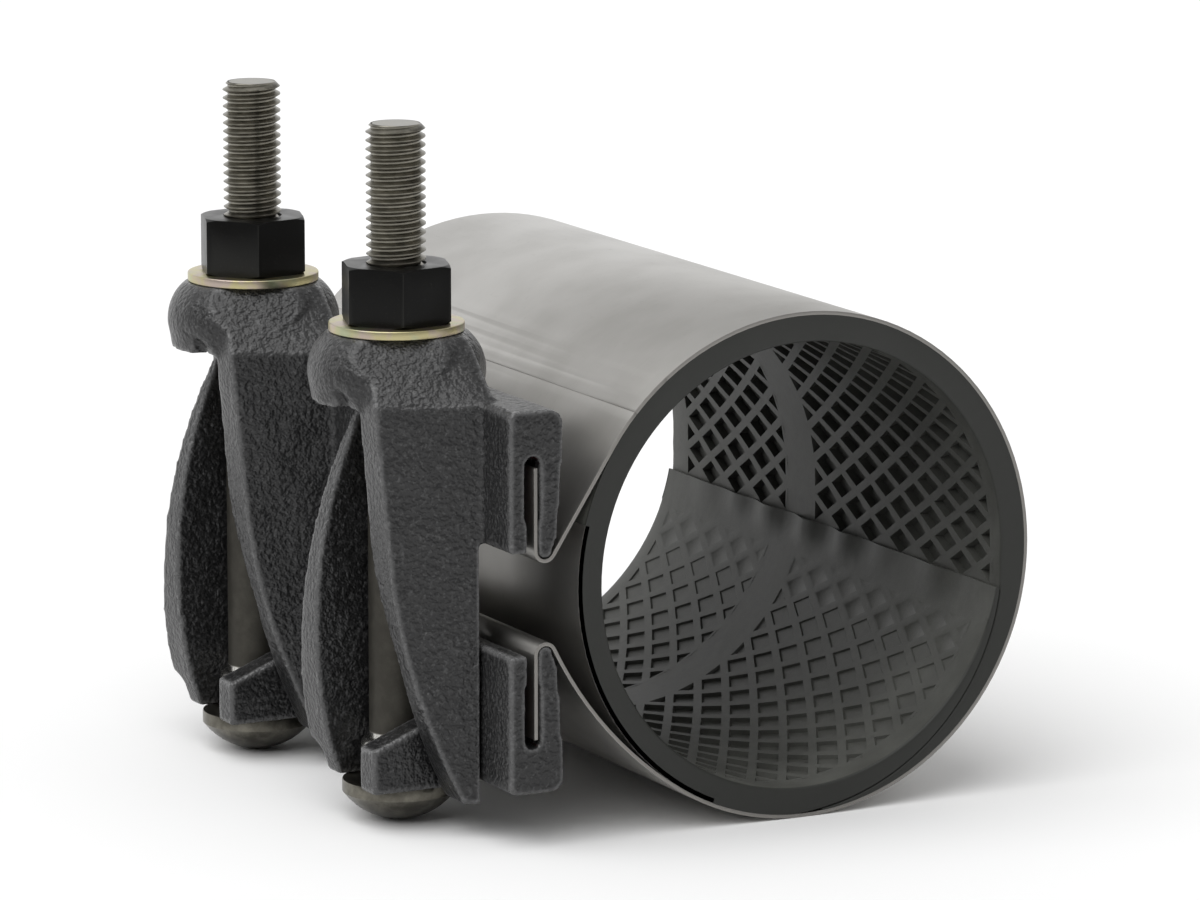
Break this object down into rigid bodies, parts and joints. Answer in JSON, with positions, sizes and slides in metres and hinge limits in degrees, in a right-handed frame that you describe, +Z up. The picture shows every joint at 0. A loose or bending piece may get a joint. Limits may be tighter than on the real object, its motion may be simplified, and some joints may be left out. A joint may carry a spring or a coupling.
{
  "type": "pipe repair clamp",
  "caption": "Full-circle pipe repair clamp: a stainless band with a waffle rubber gasket, drawn together by two bolts through a pair of cast lugs.",
  "frame": {"origin": "middle of the bore, on the pipe's axis", "axes": "+Y along the pipe's axis, +Z up along the bolts towards the nuts, lugs and bolts on the -X side"},
  "size_m": [0.188, 0.1906, 0.1869],
  "materials": {
    "stainless": "brushed",
    "bridge_stainless": "satin",
    "rubber": "matte",
    "lug_iron": "rough cast, dark coated",
    "bolt_steel": "oiled dark",
    "nut_black": "satin black coating",
    "washer_zinc": "yellow zinc"
  },
  "bodies": {
    "clamp": {"band": "stainless", "gasket": "rubber", "bridge_plate": "bridge_stainless", "lower_lug": "lug_iron", "bolt_front": "bolt_steel", "bolt_rear": "bolt_steel"},
    "closing_lug": {"upper_lug": "lug_iron", "washer_front": "washer_zinc", "washer_rear": "washer_zinc"},
    "front_nut": {"nut_front": "nut_black"},
    "rear_nut": {"nut_rear": "nut_black"}
  },
  "joints": [
    {"name": "lug_travel", "type": "slide", "parent": "clamp", "child": "closing_lug", "axis": [0, 0, 1], "range_m": [-0.009, 0.02], "deforming": ["band"]},
    {"name": "front_nut_turn", "type": "hinge", "parent": "closing_lug", "child": "front_nut", "pos_m": [-0.096, -0.046, 0.0737], "axis": [0, 0, 1], "range_deg": [-1404, 3120]},
    {"name": "rear_nut_turn", "type": "hinge", "parent": "closing_lug", "child": "rear_nut", "pos_m": [-0.096, 0.046, 0.0737], "axis": [0, 0, 1], "range_deg": [-1404, 3120]}
  ],
  "couplings": [
    {"joint": "front_nut_turn", "follows": "lug_travel", "rad_per_m": 2721.1},
    {"joint": "rear_nut_turn", "follows": "lug_travel", "rad_per_m": 2721.1}
  ]
}
